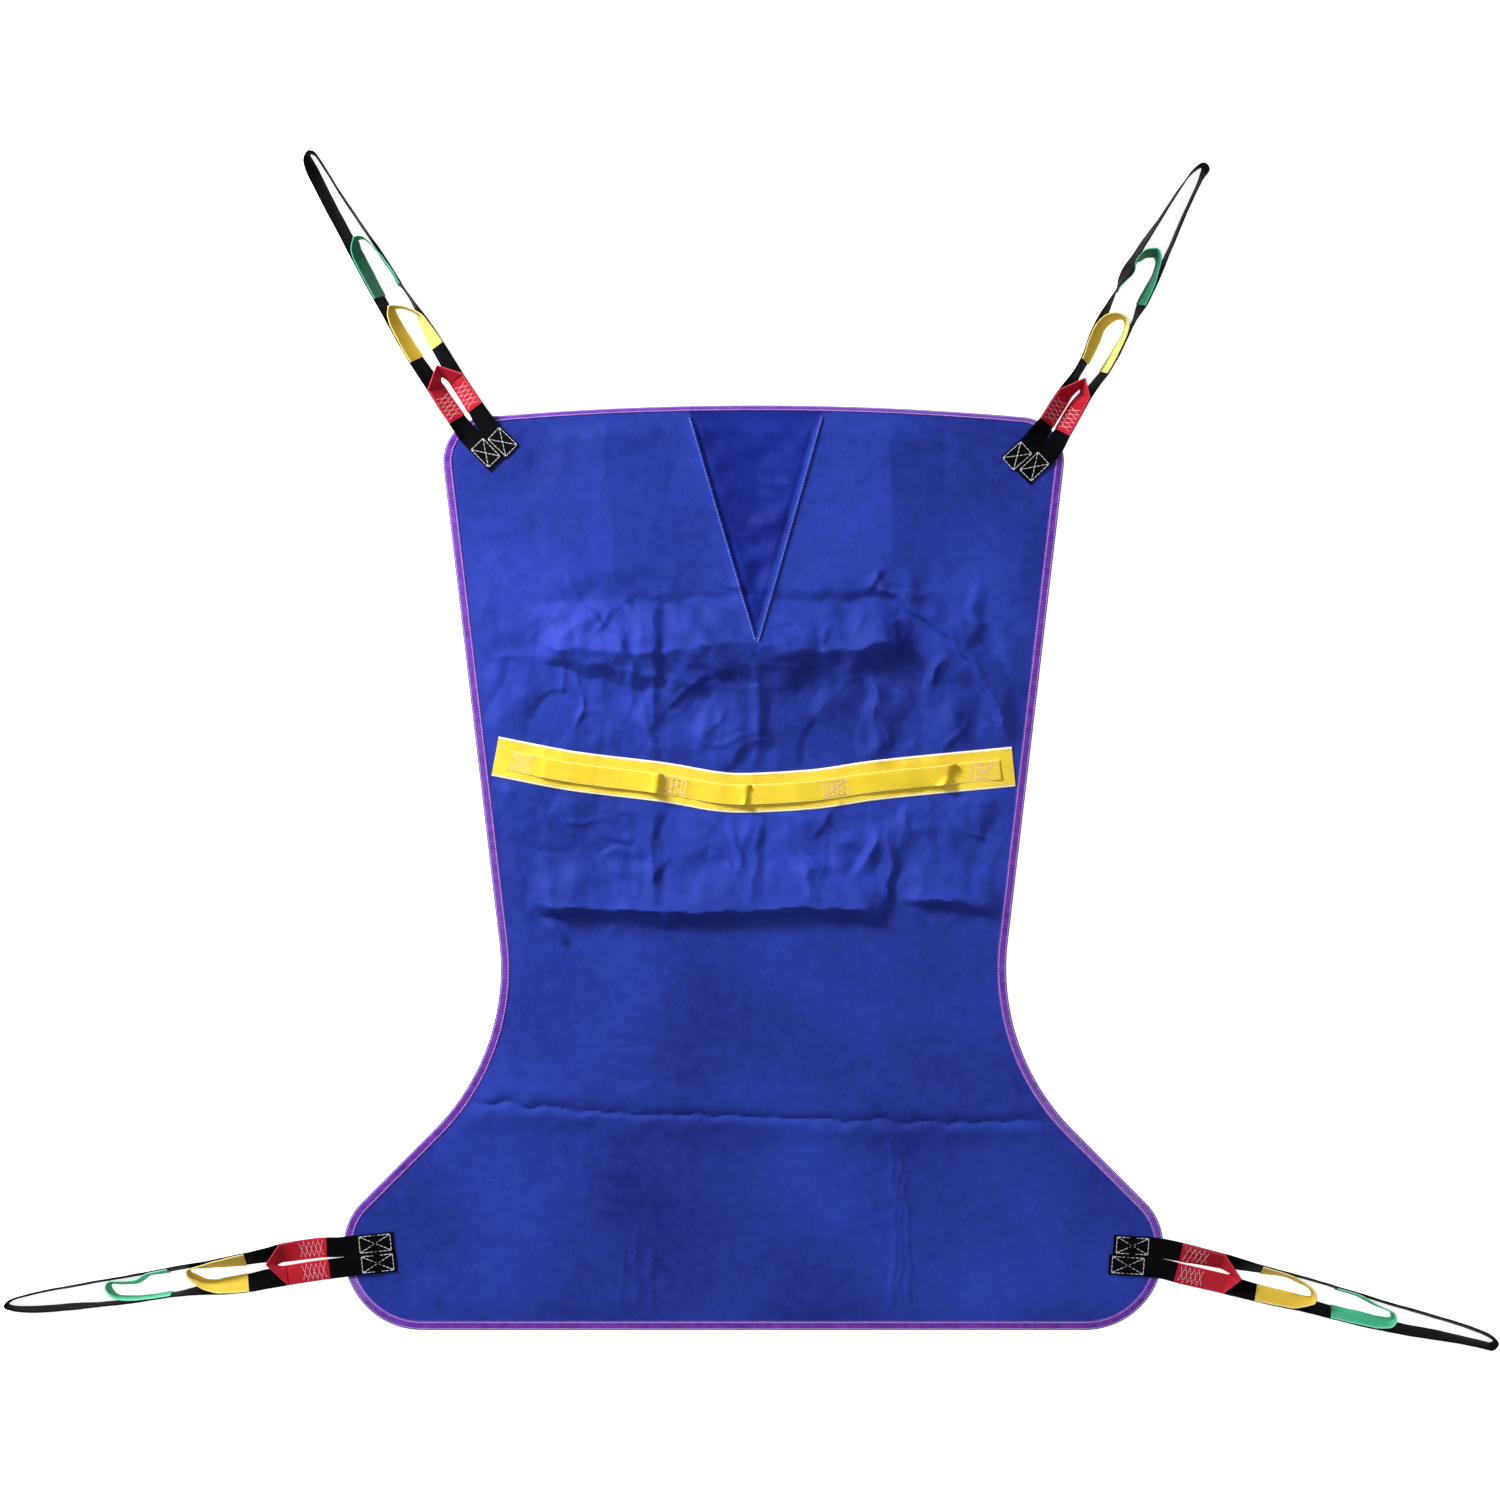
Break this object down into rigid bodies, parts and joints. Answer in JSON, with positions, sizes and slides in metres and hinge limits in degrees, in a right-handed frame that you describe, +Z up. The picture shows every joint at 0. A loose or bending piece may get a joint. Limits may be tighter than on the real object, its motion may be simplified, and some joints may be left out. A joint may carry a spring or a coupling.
{
  "type": "full-body patient lift sling",
  "caption": "Full-body patient lift sling laid flat: solid fabric with bound edge, looped shoulder and leg straps with colour-coded hook loops, and a strip of handles across the back.",
  "frame": {"origin": "centre of the sling as laid out flat, on the surface it lies on", "axes": "+Z up, out of the face with the handles; +Y towards the head end; +X towards the right when seen from above with the head end up"},
  "size_m": [1.8607, 1.4949, 0.0253],
  "materials": {
    "blue_cloth": "plain woven polyester, slight sheen",
    "purple_tape": "twill binding tape",
    "black_webbing": "flat woven webbing",
    "red_webbing": "flat woven webbing",
    "yellow_webbing": "flat woven webbing",
    "green_webbing": "flat woven webbing",
    "handle_webbing": "flat woven webbing",
    "white_thread": "spun sewing thread",
    "lilac_thread": "spun sewing thread",
    "pink_thread": "spun sewing thread"
  },
  "bodies": {
    "back_section": {"back_panel": "blue_cloth", "back_binding": "purple_tape", "back_binding_stitching": "lilac_thread", "handle_backing": "handle_webbing", "handle_backing_stitching": "white_thread", "handle_lands": "handle_webbing", "handle_box_stitching": "pink_thread"},
    "head_section": {"head_panel": "blue_cloth", "head_gusset": "blue_cloth", "gusset_seam_left": "blue_cloth", "gusset_seam_right": "blue_cloth", "gusset_stitching": "lilac_thread", "head_binding": "purple_tape", "head_binding_stitching": "lilac_thread", "shoulder_left_anchor": "black_webbing", "shoulder_left_anchor_stitching": "white_thread", "shoulder_right_anchor": "black_webbing", "shoulder_right_anchor_stitching": "white_thread"},
    "leg_section": {"leg_panel": "blue_cloth", "leg_binding": "purple_tape", "leg_binding_stitching": "lilac_thread", "leg_left_anchor": "black_webbing", "leg_left_anchor_stitching": "white_thread", "leg_right_anchor": "black_webbing", "leg_right_anchor_stitching": "white_thread"},
    "handle_left": {"handle_loop_left": "handle_webbing"},
    "handle_centre": {"handle_loop_centre": "handle_webbing"},
    "handle_right": {"handle_loop_right": "handle_webbing"},
    "shoulder_left_strap": {"shoulder_left_webbing": "black_webbing", "shoulder_left_red_ends": "red_webbing", "shoulder_left_yellow_ends": "yellow_webbing", "shoulder_left_green_ends": "green_webbing", "shoulder_left_red_stitching": "pink_thread"},
    "shoulder_left_red": {"shoulder_left_red_loop": "red_webbing"},
    "shoulder_left_yellow": {"shoulder_left_yellow_loop": "yellow_webbing"},
    "shoulder_left_green": {"shoulder_left_green_loop": "green_webbing"},
    "shoulder_right_strap": {"shoulder_right_webbing": "black_webbing", "shoulder_right_red_ends": "red_webbing", "shoulder_right_yellow_ends": "yellow_webbing", "shoulder_right_green_ends": "green_webbing", "shoulder_right_red_stitching": "pink_thread"},
    "shoulder_right_red": {"shoulder_right_red_loop": "red_webbing"},
    "shoulder_right_yellow": {"shoulder_right_yellow_loop": "yellow_webbing"},
    "shoulder_right_green": {"shoulder_right_green_loop": "green_webbing"},
    "leg_left_strap": {"leg_left_webbing": "black_webbing", "leg_left_red_ends": "red_webbing", "leg_left_yellow_ends": "yellow_webbing", "leg_left_green_ends": "green_webbing", "leg_left_red_stitching": "pink_thread"},
    "leg_left_red": {"leg_left_red_loop": "red_webbing"},
    "leg_left_yellow": {"leg_left_yellow_loop": "yellow_webbing"},
    "leg_left_green": {"leg_left_green_loop": "green_webbing"},
    "leg_right_strap": {"leg_right_webbing": "black_webbing", "leg_right_red_ends": "red_webbing", "leg_right_yellow_ends": "yellow_webbing", "leg_right_green_ends": "green_webbing", "leg_right_red_stitching": "pink_thread"},
    "leg_right_red": {"leg_right_red_loop": "red_webbing"},
    "leg_right_yellow": {"leg_right_yellow_loop": "yellow_webbing"},
    "leg_right_green": {"leg_right_green_loop": "green_webbing"}
  },
  "joints": [
    {"name": "head_fold", "type": "hinge", "parent": "back_section", "child": "head_section", "pos_m": [0, 0.098, 0.0024], "axis": [1, 0, 0], "range_deg": [0, 90]},
    {"name": "leg_fold", "type": "hinge", "parent": "back_section", "child": "leg_section", "pos_m": [0, -0.46, 0.0024], "axis": [-1, 0, 0], "range_deg": [0, 90]},
    {"name": "handle_left_lift", "type": "slide", "parent": "back_section", "child": "handle_left", "axis": [0, 0, 1], "range_m": [0, 0.02]},
    {"name": "handle_centre_lift", "type": "slide", "parent": "back_section", "child": "handle_centre", "axis": [0, 0, 1], "range_m": [0, 0.02]},
    {"name": "handle_right_lift", "type": "slide", "parent": "back_section", "child": "handle_right", "axis": [0, 0, 1], "range_m": [0, 0.02]},
    {"name": "shoulder_left_swing", "type": "hinge", "parent": "head_section", "child": "shoulder_left_strap", "pos_m": [-0.33061, 0.39419, 0.0042], "axis": [0.8387, 0.5446, 0], "range_deg": [0, 110]},
    {"name": "shoulder_left_red_lift", "type": "hinge", "parent": "shoulder_left_strap", "child": "shoulder_left_red", "pos_m": [-0.36982, 0.45458, 0.004], "axis": [0.8387, 0.5446, 0], "range_deg": [0, 120]},
    {"name": "shoulder_left_yellow_lift", "type": "hinge", "parent": "shoulder_left_strap", "child": "shoulder_left_yellow", "pos_m": [-0.4123, 0.51999, 0.02393], "axis": [0.8387, 0.5446, 0], "range_deg": [0, 120]},
    {"name": "shoulder_left_green_lift", "type": "hinge", "parent": "shoulder_left_strap", "child": "shoulder_left_green", "pos_m": [-0.46132, 0.59547, 0.02511], "axis": [0.8387, 0.5446, 0], "range_deg": [0, 120]},
    {"name": "shoulder_right_swing", "type": "hinge", "parent": "head_section", "child": "shoulder_right_strap", "pos_m": [0.3446, 0.37783, 0.0042], "axis": [0.8563, -0.5165, 0], "range_deg": [0, 110]},
    {"name": "shoulder_right_red_lift", "type": "hinge", "parent": "shoulder_right_strap", "child": "shoulder_right_red", "pos_m": [0.38179, 0.43948, 0.004], "axis": [0.8563, -0.5165, 0], "range_deg": [0, 120]},
    {"name": "shoulder_right_yellow_lift", "type": "hinge", "parent": "shoulder_right_strap", "child": "shoulder_right_yellow", "pos_m": [0.42208, 0.50627, 0.02483], "axis": [0.8563, -0.5165, 0], "range_deg": [0, 120]},
    {"name": "shoulder_right_green_lift", "type": "hinge", "parent": "shoulder_right_strap", "child": "shoulder_right_green", "pos_m": [0.46856, 0.58333, 0.0254], "axis": [0.8563, -0.5165, 0], "range_deg": [0, 120]},
    {"name": "leg_left_swing", "type": "hinge", "parent": "leg_section", "child": "leg_left_strap", "pos_m": [-0.49362, -0.63392, 0.0042], "axis": [-0.1288, 0.9917, 0], "range_deg": [0, 110]},
    {"name": "leg_left_red_lift", "type": "hinge", "parent": "leg_left_strap", "child": "leg_left_red", "pos_m": [-0.567, -0.64346, 0.004], "axis": [-0.1288, 0.9917, 0], "range_deg": [0, 120]},
    {"name": "leg_left_yellow_lift", "type": "hinge", "parent": "leg_left_strap", "child": "leg_left_yellow", "pos_m": [-0.65625, -0.65505, 0.02365], "axis": [-0.1288, 0.9917, 0], "range_deg": [0, 120]},
    {"name": "leg_left_green_lift", "type": "hinge", "parent": "leg_left_strap", "child": "leg_left_green", "pos_m": [-0.75145, -0.66741, 0.02532], "axis": [-0.1288, 0.9917, 0], "range_deg": [0, 120]},
    {"name": "leg_right_swing", "type": "hinge", "parent": "leg_section", "child": "leg_right_strap", "pos_m": [0.49178, -0.6425, 0.0042], "axis": [-0.2284, -0.9736, 0], "range_deg": [0, 110]},
    {"name": "leg_right_red_lift", "type": "hinge", "parent": "leg_right_strap", "child": "leg_right_red", "pos_m": [0.56383, -0.6594, 0.004], "axis": [-0.2284, -0.9736, 0], "range_deg": [0, 120]},
    {"name": "leg_right_yellow_lift", "type": "hinge", "parent": "leg_right_strap", "child": "leg_right_yellow", "pos_m": [0.65145, -0.67995, 0.02512], "axis": [-0.2284, -0.9736, 0], "range_deg": [0, 120]},
    {"name": "leg_right_green_lift", "type": "hinge", "parent": "leg_right_strap", "child": "leg_right_green", "pos_m": [0.74492, -0.70188, 0.02531], "axis": [-0.2284, -0.9736, 0], "range_deg": [0, 120]}
  ]
}
